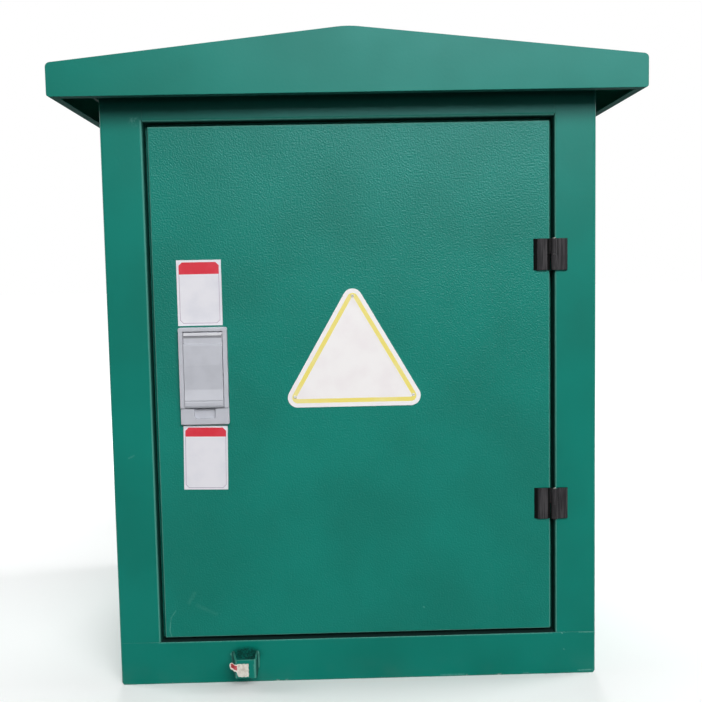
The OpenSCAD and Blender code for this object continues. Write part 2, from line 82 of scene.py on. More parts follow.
class Wire:
    """A shader socket. Sums and products of wires and numbers add Math nodes."""

    def __init__(self, socket):
        self.socket = socket

    def node(self, kind, settings=None, sockets=None, out=0):
        """Adds a node of any kind: its settings first, then the values or links of its sockets."""
        tree = self.socket.id_data
        made = tree.nodes.new(kind)
        for name, value in (settings or {}).items():
            setattr(made, name, value)
        for key, value in (sockets or {}).items():
            if isinstance(value, Wire):
                tree.links.new(value.socket, made.inputs[key])
            else:
                made.inputs[key].default_value = value
        return Wire(made.outputs[out])

    def math(self, operation, first, second=0.0):
        return self.node("ShaderNodeMath", {"operation": operation}, {0: first, 1: second})

    def __add__(self, other):
        return self.math("ADD", self, other)

    def __radd__(self, other):
        return self.math("ADD", other, self)

    def __sub__(self, other):
        return self.math("SUBTRACT", self, other)

    def __rsub__(self, other):
        return self.math("SUBTRACT", other, self)

    def __mul__(self, other):
        return self.math("MULTIPLY", self, other)

    def __rmul__(self, other):
        return self.math("MULTIPLY", other, self)

    def __truediv__(self, other):
        return self.math("DIVIDE", self, other)

    def __pow__(self, other):
        return self.math("POWER", self, other)

    def __abs__(self):
        return self.math("ABSOLUTE", self)

    def at_most(self, other):
        return self.math("MINIMUM", self, other)

    def at_least(self, other):
        return self.math("MAXIMUM", self, other)

    def ramp(self, low, high):
        """Smooth step of this value, from 0 at low to 1 at high."""
        settings = {"interpolation_type": "SMOOTHSTEP"}
        return self.node("ShaderNodeMapRange", settings, {0: self, 1: low, 2: high})

    def mix(self, first, second):
        """Colour between first and second, by this value."""
        return self.node("ShaderNodeMix", {"data_type": "RGBA"}, {0: self, 6: first, 7: second}, out=2)

    def noise(self, scale, detail=2.0):
        """Noise at this vector, with so many lumps to a metre."""
        return self.node("ShaderNodeTexNoise", None, {"Vector": self, "Scale": scale, "Detail": detail})

    def stretched(self, x, y, z):
        """This vector with its axes scaled."""
        return self.node("ShaderNodeMapping", None, {"Vector": self, "Scale": (x, y, z)})

    def parts(self):
        """X, Y and Z of this vector."""
        split = self.node("ShaderNodeSeparateXYZ", None, {0: self}).socket.node
        return [Wire(socket) for socket in split.outputs]

    def bumped(self, distance, under=None):
        """Normal from this height, laid over another normal."""
        sockets = {"Height": self, "Distance": distance, "Strength": 1.0}
        if under is not None:
            sockets["Normal"] = under
        return self.node("ShaderNodeBump", None, sockets)


def screen(red, green, blue):
    """Linear colour of a screen colour from 0 to 255."""
    def linear(value):
        share = value / 255.0
        return share / 12.92 if share <= 0.04045 else ((share + 0.055) / 1.055) ** 2.4
    return (linear(red), linear(green), linear(blue), 1.0)


class Finish:
    """A material: its Principled shader and its wires of place and facing."""

    def __init__(self, name, **constants):
        self.material = bpy.data.materials.new(name)
        self.material.use_nodes = True
        tree = self.material.node_tree
        self.shader = tree.nodes["Principled BSDF"]
        coordinates = tree.nodes.new("ShaderNodeTexCoord")
        self.place = Wire(coordinates.outputs["Object"])
        self.facing = Wire(coordinates.outputs["Normal"])
        for key, value in constants.items():
            self.shader.inputs[key.replace("_", " ")].default_value = value

    def feed(self, **wires):
        """Links wires to the shader's sockets and gives the material."""
        for key, value in wires.items():
            self.material.node_tree.links.new(value.socket, self.shader.inputs[key.replace("_", " ")])
        return self.material

    def eased(self, radius):
        """Normal that rounds off edges."""
        return self.place.node("ShaderNodeBevel", {"samples": 6}, {"Radius": radius})

    def edge(self, rounding):
        """Mask of the edges that a rounding normal bends, where the paint is lightened as a thin coat and as
        a painted highlight.
        """
        flat = self.place.node("ShaderNodeNewGeometry", out=1)
        settings = {"operation": "DOT_PRODUCT"}
        level = self.place.node("ShaderNodeVectorMath", settings, {0: rounding, 1: flat}, out=1)
        return (1.0 - level).ramp(0.0, 0.25)


def spot(x, z, at_x, at_z, radius):
    """Mask of a soft round place on the front."""
    off_x = x - at_x
    off_z = z - at_z
    return ((off_x * off_x + off_z * off_z) ** 0.5).ramp(radius, 0.0)


def scratch(x, z, start, end, width):
    """Mask of a thin line on the front from start to end."""
    run_x = end[0] - start[0]
    run_z = end[1] - start[1]
    off_x = x - start[0]
    off_z = z - start[1]
    along = ((off_x * run_x + off_z * run_z) / (run_x * run_x + run_z * run_z)).at_least(0.0).at_most(1.0)
    off_x = off_x - along * run_x
    off_z = off_z - along * run_z
    return ((off_x * off_x + off_z * off_z) ** 0.5).ramp(width, 0.0)


# Green powder coat, and what shows where it is thin, worn or chipped; the pale worn green is also a painted
# highlight along edges
GREEN = screen(5, 124, 109)
GREEN_DEEP = screen(3, 113, 98)
GREEN_WORN_AND_HIGHLIGHT = screen(88, 160, 146)
PRIMER = screen(196, 202, 196)
ROAD_DUST = screen(140, 142, 128)
# Dark green that paints shade under the eaves, in the doorway and on undersides, and darkens the patch round
# the earth bracket
GREEN_DARKENED = screen(10, 30, 26)

# Ranges over which the masks of the paint fade in, in metres
FRONT_FACE = (-0.321, -0.323)
DARK_PATCH_DEPTH = (-0.345, -0.332)
EAVES_SHADOW_DEPTH = (-0.345, -0.335)
EAVES_SHADOW_HEIGHT = (0.897, 0.906)
DOORWAY_SIDE = (0.335, 0.325)
DOORWAY_TOP = (0.885, 0.878)
DOORWAY_FOOT = (0.03, 0.06)
REVEAL_DEPTH = (-0.290, -0.305)
SILL_FOOT = (0.055, 0.062)
SILL_TOP = (0.085, 0.075)
CHIP_HEIGHT = (0.0035, 0.0010)
SPLASH_HEIGHT = (0.05, 0.0)

# Darkened patch round the earth bracket, drawn out sideways, and the grazed corner of the frame
DARK_PATCH_SQUEEZE = 0.5
DARK_PATCH_AT = (-0.0893, 0.0445)
DARK_PATCH_RADIUS = 0.0185
GRAZE_AT = (-0.3225, 0.8735)
GRAZE_RADIUS = 0.011

# Scratches on the front: start, end, width and depth
BODY_SCRATCHES = (
    ((-0.3500, 0.3615), (-0.3420, 0.3652), 0.0022, 0.35),
    ((0.3490, 0.0665), (0.3750, 0.0660), 0.0014, 0.8),
    ((0.3215, 0.0660), (0.3225, 0.0650), 0.0016, 0.9),
    ((0.3245, 0.0395), (0.3260, 0.0385), 0.0014, 0.6),
    ((-0.3140, 0.0664), (0.3060, 0.0664), 0.0020, 0.6),
    ((0.3470, 0.0040), (0.3700, 0.0045), 0.0017, 0.9),
    ((0.1290, 0.0025), (0.1660, 0.0025), 0.0017, 0.7),
    ((0.2600, 0.0022), (0.2680, 0.0022), 0.0015, 0.7),
    ((-0.1605, 0.0250), (-0.1625, 0.0420), 0.0030, 0.5),
    ((-0.2010, 0.0450), (-0.2000, 0.0440), 0.0035, 1.0),
)
DOOR_SCRATCHES = (
    ((-0.2862, 0.1173), (-0.2941, 0.1062), 0.0013, 0.45),
    ((-0.2941, 0.1062), (-0.2964, 0.0853), 0.0013, 0.6),
    ((-0.2964, 0.0853), (-0.2936, 0.0755), 0.0013, 0.5),
    ((-0.2552, 0.1454), (-0.2652, 0.1296), 0.0050, 0.13),
    ((-0.2520, 0.1250), (-0.2235, 0.1108), 0.0050, 0.11),
    ((0.1032, 0.1138), (0.1042, 0.1132), 0.0017, 0.9),
    ((0.1296, 0.0765), (0.1306, 0.0761), 0.0014, 0.6),
)


def powder_coat(name, peel_mm, peel_depth, gloss, scratches, patch_and_graze):
    """Green powder coat with its orange peel, waves of the sheet, worn marks, chips and dust, painted
    highlights on its edges and painted shade under the eaves, in the doorway and on undersides.

    The last argument is the share of the darkened patch round the earth bracket and of the grazing that it
    carries.
    """
    # The cool specular tint gives every reflection on the paint a painted sky-blue cast.
    finish = Finish(name, Specular_IOR_Level=gloss, Specular_Tint=(0.65, 0.9, 1.0, 1.0))
    place = finish.place
    x, y, z = place.parts()
    front = y.ramp(*FRONT_FACE)
    rounding = finish.eased(0.0013)
    nx, ny, nz = finish.facing.parts()
    cloud = place.noise(6.0, 3.0).ramp(0.3, 0.7)
    peel = place.noise(1000.0 / peel_mm, 1.5)
    ragged = place.noise(420.0, 3.0)
    colour = cloud.mix(GREEN, GREEN_DEEP)

    # Darker patch on the front of the base rail round the earth bracket, behind its plate.
    dark_patch = spot(x * DARK_PATCH_SQUEEZE, z, *DARK_PATCH_AT, DARK_PATCH_RADIUS).ramp(0.0, 0.7)
    dark_patch = front * patch_and_graze * y.ramp(*DARK_PATCH_DEPTH) * dark_patch * (0.55 + ragged.ramp(0.3, 0.6) * 0.5)
    # Painted shadow: the front of the body just under the roof's eaves is darkened, standing for the shade of
    # the overhang.
    eaves_shadow = front * y.ramp(*EAVES_SHADOW_DEPTH) * z.ramp(*EAVES_SHADOW_HEIGHT) * ny.at_most(nz).ramp(-0.5, -0.9)
    colour = dark_patch.at_least(eaves_shadow * 0.6).mix(colour, GREEN_DARKENED)

    # Painted highlight and wear: rounded edges, and the bends round the doorway most, are lightened as pale
    # lines where light catches them and as a thin coat; real grazes and scratches are added to it.
    doorway = abs(x).ramp(*DOORWAY_SIDE) * z.ramp(*DOORWAY_TOP)
    bend_highlight = (abs(nx * ny) + abs(ny * nz)).ramp(0.12, 0.4) * doorway
    edges = finish.edge(rounding) * (0.4 + doorway * z.ramp(*DOORWAY_FOOT) * 0.5)
    wear_and_highlight = edges.at_least(bend_highlight * 0.8) * (0.6 + ragged * 0.6)
    grazed = front * patch_and_graze * spot(x, z, *GRAZE_AT, GRAZE_RADIUS) * place.noise(260.0, 3.0).ramp(0.4, 0.65)
    for start, end, width, depth in scratches:
        grazed = grazed.at_least(front * depth * scratch(x, z, start, end, width))
    wear_and_highlight = wear_and_highlight.at_least(grazed * (0.4 + ragged.ramp(0.3, 0.6) * 0.8)).at_most(1.0)
    colour = wear_and_highlight.mix(colour, GREEN_WORN_AND_HIGHLIGHT)

    chip = z.ramp(*CHIP_HEIGHT) * place.stretched(1.0, 1.0, 0.3).noise(38.0, 4.0).ramp(0.64, 0.70)
    chip = chip * ragged.ramp(0.40, 0.55)
    colour = (chip * 0.6).mix(colour, PRIMER)

    upward = nz.ramp(0.5, 0.95)
    # Painted shade: undersides, the sill in the door gap and the side reveals of the doorway are darkened
    # towards the dark green; undersides are also rougher.
    sill_shade = nz.ramp(0.85, 0.98) * y.ramp(*REVEAL_DEPTH) * z.ramp(*SILL_TOP) * z.ramp(*SILL_FOOT)
    reveal_shade = abs(nx).ramp(0.5, 0.95) * doorway * y.ramp(*REVEAL_DEPTH)
    painted_shade = nz.ramp(-0.8, -0.98).at_least(sill_shade).at_least(reveal_shade * 0.8)
    colour = (painted_shade * 0.75 + sill_shade * 0.2).mix(colour, GREEN_DARKENED)

    settled = place.noise(14.0, 4.0).ramp(0.38, 0.72)
    splash = z.ramp(*SPLASH_HEIGHT) * settled
    dust = (upward * (1.0 - sill_shade) * (0.25 + settled * 0.3) + splash * 0.2).at_most(1.0)
    colour = (dust * 0.3).mix(colour, ROAD_DUST)

    rough = 0.33 + cloud * 0.05 + upward * 0.25 + dust * 0.3 + chip * 0.2 + wear_and_highlight * 0.1 + painted_shade * 0.5
    waves = (place.noise(7.0, 1.0) * (1.0 - upward * 0.85)).bumped(0.0008, rounding)
    normal = (peel - chip * 0.8).bumped(peel_depth, waves)
    return finish.feed(Base_Color=colour, Roughness=rough, Normal=normal)


HINGE_ROOT_SHADE = (-0.3298, -0.3286)


def hinge_casting():
    """Satin black casting with drawn marks along its height, with painted shade near black at its root, in
    the grooves next to the door.
    """
    finish = Finish("hinge_black", Specular_IOR_Level=0.1)
    # Painted shade: the parts of the hinge nearest the door are darkened nearly to black.
    deep = finish.place.parts()[1].ramp(*HINGE_ROOT_SHADE)
    drawn = finish.place.stretched(1.0, 1.0, 0.05).noise(480.0, 3.0)
    grain = finish.place.noise(1400.0, 2.0)
    colour = drawn.ramp(0.38, 0.68).mix(screen(38, 37, 39), screen(68, 66, 68))
    colour = deep.mix(colour, screen(4, 5, 5))
    return finish.feed(Base_Color=colour, Roughness=0.30 + drawn * 0.16 + deep * 0.4,
                       Normal=(drawn * 0.7 + grain * 0.3).bumped(0.00012, finish.eased(0.0007)))


def brushed(name, colour, tarnish, roughness):
    """Bare metal with brush lines and dull patches."""
    finish = Finish(name, Metallic=1.0)
    lines = finish.place.stretched(0.08, 1.0, 1.0).noise(1100.0, 2.0)
    dull = finish.place.noise(55.0, 4.0).ramp(0.42, 0.72)
    return finish.feed(Base_Color=dull.mix(colour, tarnish), Roughness=roughness + lines * 0.12 + dull * 0.14,
                       Normal=lines.bumped(0.00003, finish.eased(0.0004)))


def spangled():
    """Galvanised steel with its crystals."""
    finish = Finish("galvanised", Metallic=1.0)
    crystal = finish.place.node("ShaderNodeTexVoronoi", None, {"Vector": finish.place, "Scale": 95.0}, out=1)
    shade = crystal.parts()[0]
    bloom = finish.place.noise(22.0, 4.0).ramp(0.45, 0.75)
    colour = shade.mix(screen(150, 155, 158), screen(182, 187, 190))
    return finish.feed(Base_Color=(bloom * 0.5).mix(colour, screen(196, 198, 196)),
                       Roughness=0.34 + shade * 0.14 + bloom * 0.15,
                       Normal=shade.bumped(0.00002, finish.eased(0.0006)))


def moulded_rubber():
    """Matt black rubber with a mould grain and a little dust."""
    finish = Finish("black_rubber", Specular_IOR_Level=0.3)
    grain = finish.place.noise(900.0, 3.0)
    dust = finish.place.noise(40.0, 4.0).ramp(0.5, 0.8)
    return finish.feed(Base_Color=(dust * 0.35).mix(screen(26, 26, 27), screen(84, 84, 80)),
                       Roughness=0.68 + dust * 0.2, Normal=grain.bumped(0.0001, finish.eased(0.0008)))


LOCK_X = -0.2295
LIP_SHADOW_FOOT = (0.5450, 0.5466)
LIP_SHADOW_TOP = (0.5500, 0.5488)
LIP_SHADOW_SIDE = (0.0294, 0.0288)


def moulded_grey(name, light, deep):
    """Light grey moulded plastic with a fine spark grain, flecks, and a painted shadow under the flap's lip.
    """
    finish = Finish(name, Specular_IOR_Level=0.4)
    place = finish.place
    x, _, z = place.parts()
    grain = place.noise(1600.0, 2.0)
    cloud = place.noise(45.0, 3.0).ramp(0.35, 0.7)
    colour = cloud.mix(light, deep)
    # Painted shadow: a band of the flap just under its lip is darkened.
    lip_shadow = z.ramp(*LIP_SHADOW_FOOT) * z.ramp(*LIP_SHADOW_TOP) * abs(x - LOCK_X).ramp(*LIP_SHADOW_SIDE)
    colour = (lip_shadow * 0.75).mix(colour, screen(84, 85, 90))
    fleck = place.noise(700.0, 2.0).ramp(0.68, 0.76)
    return finish.feed(Base_Color=(fleck * 0.12).mix(colour, screen(120, 122, 124)),
                       Roughness=0.38 + grain * 0.14, Normal=grain.bumped(0.00005, finish.eased(0.0009)))


def printed(name, colour, worn, roughness):
    """Printed film or enamel with faint waves and a little fading."""
    finish = Finish(name, Specular_IOR_Level=0.4)
    faded = finish.place.noise(28.0, 4.0).ramp(0.4, 0.75)
    fibre = finish.place.noise(600.0, 2.0)
    waves = finish.place.noise(35.0, 1.0).bumped(0.0002)
    return finish.feed(Base_Color=faded.mix(colour, worn), Roughness=roughness + fibre * 0.1,
                       Normal=fibre.bumped(0.00002, waves))


def torn_paper(name, colour, stained):
    """Weathered scrap of paper."""
    finish = Finish(name, Specular_IOR_Level=0.3)
    fibre = finish.place.noise(900.0, 3.0)
    stain = finish.place.noise(160.0, 4.0).ramp(0.4, 0.7)
    return finish.feed(Base_Color=stain.mix(colour, stained), Roughness=0.6 + fibre * 0.2,
                       Normal=fibre.bumped(0.0002))


body_paint = powder_coat("body_paint", 5.0, 0.00008, 0.25, BODY_SCRATCHES, 0.8)
door_paint = powder_coat("door_paint", 2.6, 0.0006, 0.31, DOOR_SCRATCHES, 0.0)
hinge_black = hinge_casting()
bright_steel = brushed("bright_steel", screen(196, 196, 192), screen(150, 148, 142), 0.22)
galvanised = spangled()
copper = brushed("copper", screen(204, 126, 90), screen(128, 76, 56), 0.26)
black_rubber = moulded_rubber()
lock_grey = moulded_grey("lock_grey", screen(192, 194, 202), screen(186, 188, 196))
# A lighter copy of the lock's grey plastic: a painted highlight on the flap's lip.
lip_highlight_grey = moulded_grey("lip_highlight_grey", screen(220, 221, 226), screen(212, 213, 219))
card_white = printed("card_white", screen(232, 231, 237), screen(222, 222, 230), 0.3)
card_red = printed("card_red", screen(214, 44, 62), screen(222, 72, 88), 0.3)
card_line = printed("card_line", screen(178, 160, 180), screen(190, 176, 194), 0.3)
plate_white = printed("plate_white", screen(249, 246, 246), screen(245, 240, 241), 0.26)
plate_yellow = printed("plate_yellow", screen(242, 226, 120), screen(243, 230, 150), 0.28)
paper = torn_paper("paper", screen(232, 228, 218), screen(206, 198, 184))
paper_red = torn_paper("paper_red", screen(206, 96, 104), screen(150, 44, 44))

SLOT_FINISH = {
    "green_paint": body_paint,
    "black_casting": hinge_black,
    "bright_steel": bright_steel,
    "galvanised_steel": galvanised,
    "copper": copper,
    "grey_plastic": lock_grey,
    "black_rubber": black_rubber,
}
PEELED = ("door_panel", "door_stiffeners")


def dress_nodes():
    """Gives every CAD node the finish of its slot, and the door its coarser coat."""
    for part in frame["record"]["subparts"]:
        name = part["node"]
        finish = door_paint if name in PEELED else SLOT_FINISH[part["material_slot"]]
        materials = nodes[name].data.materials
        materials.clear()
        materials.append(finish)


dress_nodes()


def piece(name, mesh, body, slot, *finishes):
    """Makes a bmesh a piece that rides on a body."""
    data = bpy.data.meshes.new(name)
    mesh.to_mesh(data)
    mesh.free()
    for finish in finishes:
        data.materials.append(finish)
    made = bpy.data.objects.new(name, data)
    scene.collection.objects.link(made)
    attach(made, body)


DOOR_LOW, DOOR_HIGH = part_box("door_panel")
DOOR_FACE = DOOR_LOW[1]


def face_front(mesh, x, z, y):
    """Turns a shape that lies in X and Y to face the front, at a place on it."""
    bmesh.ops.rotate(mesh, verts=mesh.verts, cent=(0, 0, 0), matrix=Matrix.Rotation(math.pi / 2, 3, "X"))
    bmesh.ops.translate(mesh, verts=mesh.verts, vec=(x, y, z))


def inset(mesh, face, width, depth=0.0):
    """Draws a face in, sinks it by depth, and gives the faces of the rim."""
    return bmesh.ops.inset_region(mesh, faces=[face], thickness=width, depth=depth, use_boundary=True,
                                  use_even_offset=True)["faces"]


def thicken(mesh, thickness):
    """Raises a flat shape to a plate, with its printed faces on top."""
    raised = bmesh.ops.extrude_face_region(mesh, geom=mesh.faces[:])["geom"]
    top = [item for item in raised if isinstance(item, bmesh.types.BMVert)]
    bmesh.ops.translate(mesh, verts=top, vec=(0, 0, thickness))
    bmesh.ops.recalc_face_normals(mesh, faces=mesh.faces)


def join(mesh, other):
    """Adds another bmesh to a mesh."""
    data = bpy.data.meshes.new("joined")
    other.to_mesh(data)
    other.free()
    mesh.from_mesh(data)
    bpy.data.meshes.remove(data)


def top_face(mesh):
    """Highest face of a shape."""
    return max(mesh.faces, key=lambda face: face.calc_center_median().z)


def round_edges(mesh, edges, radius, segments):
    """Rounds edges off."""
    bmesh.ops.bevel(mesh, geom=edges, offset=radius, offset_type="OFFSET",
                    affect="EDGES", segments=segments, profile=0.5, material=-1)


SIGN_X = 0.0003
SIGN_SIDE = 0.2275
SIGN_CORNER = 0.0153
SIGN_FOOT = 0.4349
SIGN_MARGIN = 0.0066
SIGN_BAND = 0.0066
SIGN_PLATE = 0.0012


def sign_plate():
    """Bare three-cornered plate with a coloured band inside its edge."""
    mesh = bmesh.new()
    bmesh.ops.create_circle(mesh, cap_ends=True, segments=72, radius=SIGN_CORNER)
    reach = SIGN_SIDE / math.sqrt(3.0) - 2.0 * SIGN_CORNER
    for vert in mesh.verts:
        turn = math.atan2(vert.co.y, vert.co.x)
        corner = math.pi * (0.5 + 2.0 / 3.0 * round(1.5 * turn / math.pi - 0.75))
        vert.co.x += reach * math.cos(corner)
        vert.co.y += reach * math.sin(corner)
    mesh.normal_update()
    mesh.faces.ensure_lookup_table()
    field = mesh.faces[0]
    inset(mesh, field, SIGN_MARGIN)
    for ring in inset(mesh, field, SIGN_BAND):
        ring.material_index = 1
    thicken(mesh, SIGN_PLATE)
    face_front(mesh, SIGN_X, SIGN_FOOT + SIGN_SIDE / (2.0 * math.sqrt(3.0)), DOOR_FACE)
    piece("sign_plate", mesh, "door", "grey_plastic", plate_white, plate_yellow)


RIVET_PLACES = ((0.0, 0.1705), (-0.0912, 0.0165), (0.0912, 0.0165))
RIVET_RADIUS = 0.0024
RIVET_HEIGHT = 0.001
RIVET_ROUND = 0.0006
RIVET_RIM = 0.0009
RIVET_BORE = 0.0008
RIVET_PROUD = 0.0004


def sign_rivets():
    """Hollow rivets in the corners of the plate."""
    mesh = bmesh.new()
    for x, z in RIVET_PLACES:
        head = bmesh.new()
        bmesh.ops.create_cone(head, cap_ends=True, segments=24,
                              radius1=RIVET_RADIUS, radius2=RIVET_RADIUS, depth=RIVET_HEIGHT)
        round_edges(head, top_face(head).edges[:], RIVET_ROUND, 4)
        cap = top_face(head)
        inset(head, cap, RIVET_RIM)
        inset(head, cap, 0.0001, -RIVET_BORE)
        face_front(head, x + SIGN_X, SIGN_FOOT + z, DOOR_FACE - SIGN_PLATE - RIVET_PROUD)
        join(mesh, head)
    piece("sign_rivets", mesh, "door", "bright_steel", bright_steel)


CARD_THICKNESS = 0.0004
CARD_CUT = 0.005
CARD_LINE = 0.0008
CARD_FIELD_AREA = 0.0005


def card(name, x0, x1, z0, z1, margin, band, tilt):
    """Bare card with a frame line, cut corners and a coloured band across its top, stuck on at a tilt."""
    mesh = bmesh.new()
    bmesh.ops.create_grid(mesh, x_segments=1, y_segments=1, size=0.5)
    bmesh.ops.scale(mesh, verts=mesh.verts, vec=(x1 - x0, z1 - z0, 1.0))
    mesh.normal_update()
    mesh.faces.ensure_lookup_table()
    field = mesh.faces[0]
    inset(mesh, field, margin)
    bmesh.ops.bevel(mesh, geom=field.verts[:], offset=CARD_CUT, offset_type="OFFSET",
                    affect="VERTICES", segments=1, profile=0.5, material=-1)
    field = max(mesh.faces, key=lambda face: face.calc_area())
    ring = inset(mesh, field, CARD_LINE)
    for face in ring:
        face.material_index = 2
    framed = [field, *ring]
    edges = {edge for face in framed for edge in face.edges}
    corners = {vert for face in framed for vert in face.verts}
    foot = (z1 - z0) / 2.0 - margin - band
    bmesh.ops.bisect_plane(mesh, geom=[*framed, *edges, *corners], plane_co=(0, foot, 0), plane_no=(0, 1, 0))
    for face in mesh.faces:
        middle = face.calc_center_median()
        central = abs(middle.x) < CARD_CUT and face.calc_area() > CARD_FIELD_AREA
        inner = face.material_index == 2 or central
        if inner and middle.y > foot:
            face.material_index = 1
    thicken(mesh, CARD_THICKNESS)
    turn = Matrix.Rotation(math.radians(tilt), 3, "Z")
    bmesh.ops.rotate(mesh, verts=mesh.verts, cent=(0, 0, 0), matrix=turn)
    face_front(mesh, (x0 + x1) / 2.0, (z0 + z1) / 2.0, DOOR_FACE)
    piece(name, mesh, "door", "grey_plastic", card_white, card_red, card_line)


sign_plate()
sign_rivets()
card("upper_card", -0.267, -0.199, 0.5645, 0.6645, 0.0034, 0.0182, 0.0)
card("lower_card", -0.2652, -0.1972, 0.3097, 0.4095, 0.0026, 0.0142, -1.2)


STICKER_START = -0.0122
STICKER_MIDDLE = 0.0132
STICKER_LENGTH = 0.0285
STICKER_HEIGHT = 0.0205
STICKER_PAPER = 0.00025
STICKER_RAGGED = 0.0003
TONGUE_NARROWER = 0.0095
TONGUE_RISE = 0.0200
TONGUE_LIFT = 0.0080


def torn_sticker():
    """Scrap of paper on the earth bracket, with a loose tongue that sticks out at its left."""
    low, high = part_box("earth_bracket")
    mesh = bmesh.new()
    bmesh.ops.create_grid(mesh, x_segments=32, y_segments=12, size=0.5)
    for face in mesh.faces:
        middle = face.calc_center_median()
        if -0.44 < middle.x < -0.14 and abs(middle.y) < 0.31:
            face.material_index = 1
    for vert in mesh.verts:
        along, across = 0.5 - vert.co.x, vert.co.y
        share = min(1.0, max(0.0, (along - 0.52) / 0.16))
        tongue = share * share * (3.0 - 2.0 * share)
        tip = math.sqrt(max(0.0, 1.0 - (max(0.0, along - 0.86) / 0.14) ** 2))
        height = (STICKER_HEIGHT - TONGUE_NARROWER * tongue) * (0.04 + 0.96 * tip)
        ragged = STICKER_RAGGED * math.sin(31.0 * along) + STICKER_RAGGED * math.sin(57.0 * across + 2.0)
        vert.co.x = STICKER_START - STICKER_LENGTH * along + ragged
        vert.co.y = STICKER_MIDDLE + TONGUE_RISE * max(0.0, along - 0.5) + across * height + ragged
        vert.co.z = 0.0002 + TONGUE_LIFT * max(0.0, along - 0.55) ** 1.5
    bmesh.ops.solidify(mesh, geom=mesh.faces[:], thickness=STICKER_PAPER)
    bmesh.ops.recalc_face_normals(mesh, faces=mesh.faces)
    face_front(mesh, high[0], low[2], low[1] - 0.0003)
    piece("torn_sticker", mesh, "cabinet", "grey_plastic", paper, paper_red)


def weld_bead(mesh, start, end, radius, ripples):
    """Row of ripples of a weld from start to end."""
    span = Vector(end) - Vector(start)
    bead = bmesh.new()
    bmesh.ops.create_cone(bead, cap_ends=True, segments=12, radius1=radius, radius2=radius, depth=span.length)
    sides = [edge for edge in bead.edges if abs(edge.verts[0].co.z - edge.verts[1].co.z) > radius]
    bmesh.ops.subdivide_edges(bead, edges=sides, cuts=ripples * 4 - 1, use_grid_fill=True)
    for vert in bead.verts:
        share = vert.co.z / span.length + 0.5
        swell = 0.86 + 0.14 * abs(math.sin(math.pi * ripples * share))
        ends = min(1.0, 0.35 + 6.0 * min(share, 1.0 - share))
        vert.co.x *= swell * ends
        vert.co.y *= swell * ends
    turn = span.to_track_quat("Z", "Y").to_matrix()
    bmesh.ops.rotate(bead, verts=bead.verts, cent=(0, 0, 0), matrix=turn)
    bmesh.ops.translate(bead, verts=bead.verts, vec=Vector(start) + span / 2.0)
    join(mesh, bead)


BEAD_RADIUS = 0.0022
BEAD_RIPPLES = 9
BEAD_INSET = 0.001


def bracket_welds():
    """Welds at the feet of the earth bracket."""
    low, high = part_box("earth_bracket")
    mesh = bmesh.new()
    for x in (low[0] + BEAD_INSET, high[0]):
        start = (x, high[1], low[2] + BEAD_INSET)
        end = (x, high[1], high[2] - BEAD_INSET)
        weld_bead(mesh, start, end, BEAD_RADIUS, BEAD_RIPPLES)
    piece("bracket_welds", mesh, "cabinet", "green_paint", body_paint)


SEAM_WIDTH = 0.008
SEAM_DEPTH = 0.001
SEAM_CROWN = 0.00005
SEAM_FALL = 0.0004
SEAM_OUT = 0.0016
SEAM_OVER_DOOR = 0.010


def frame_welds():
    """Welds ground flush where the head rail meets the folded edges of the front posts."""
    low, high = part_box("front_head_rail")
    foot = DOOR_HIGH[2] + SEAM_OVER_DOOR
    mesh = bmesh.new()
    for side in (-1, 1):
        strip = bmesh.new()
        bmesh.ops.create_grid(strip, x_segments=8, y_segments=1, size=0.5)
        bmesh.ops.scale(strip, verts=strip.verts, vec=(SEAM_WIDTH, high[2] - foot, 1.0))
        thicken(strip, SEAM_DEPTH)
        for vert in strip.verts:
            vert.co.z -= SEAM_FALL * (2.0 * vert.co.x / SEAM_WIDTH) ** 2
        middle = (high[2] + foot) / 2.0
        face_front(strip, side * (high[0] + SEAM_OUT), middle, low[1] + SEAM_DEPTH - SEAM_CROWN)
        join(mesh, strip)
    piece("frame_welds", mesh, "cabinet", "green_paint", body_paint)


LIP_SHORTER = 0.001
LIP_DEPTH = 0.0014
LIP_HEIGHT = 0.0046
LIP_ROUND = 0.0005
LIP_OUT = 0.0026


def flap_lip():
    """Flat lip along the hinge of the weather flap."""
    low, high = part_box("lock_flap")
    pin_low, pin_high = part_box("flap_pin")
    middle = [(near + far) / 2.0 for near, far in zip(pin_low, pin_high)]
    mesh = bmesh.new()
    bmesh.ops.create_cube(mesh, size=1.0)
    bmesh.ops.scale(mesh, verts=mesh.verts, vec=(high[0] - low[0] - LIP_SHORTER, LIP_DEPTH, LIP_HEIGHT))
    round_edges(mesh, mesh.edges[:], LIP_ROUND, 3)
    place = ((low[0] + high[0]) / 2.0, middle[1] - LIP_OUT, middle[2])
    bmesh.ops.translate(mesh, verts=mesh.verts, vec=place)
    piece("flap_lip", mesh, "flap", "grey_plastic", lip_highlight_grey)


torn_sticker()
bracket_welds()
frame_welds()
flap_lip()


def bolt(size, head, flange):
    """Flanged hexagon bolt head that stands on Z = 0."""
    mesh = bmesh.new()
    rim = size * flange
    bmesh.ops.create_cone(mesh, cap_ends=True, segments=32, radius1=rim, radius2=rim * 0.9, depth=size * 0.2)
    bmesh.ops.translate(mesh, verts=mesh.verts, vec=(0, 0, size * 0.1))
    hexagon = bmesh.new()
    corner = size * 0.96
    bmesh.ops.create_cone(hexagon, cap_ends=True, segments=6,
                          radius1=corner, radius2=corner, depth=size * head)
    round_edges(hexagon, top_face(hexagon).edges[:], size * 0.1, 2)
    cap = top_face(hexagon)
    inset(hexagon, cap, size * 0.16)
    inset(hexagon, cap, size * 0.06, -size * 0.08)
    bmesh.ops.translate(hexagon, verts=hexagon.verts, vec=(0, 0, size * (0.2 + head / 2.0)))
    join(mesh, hexagon)
    return mesh


BOLT_HEAD = 0.6
BOLT_FLANGE = 1.3


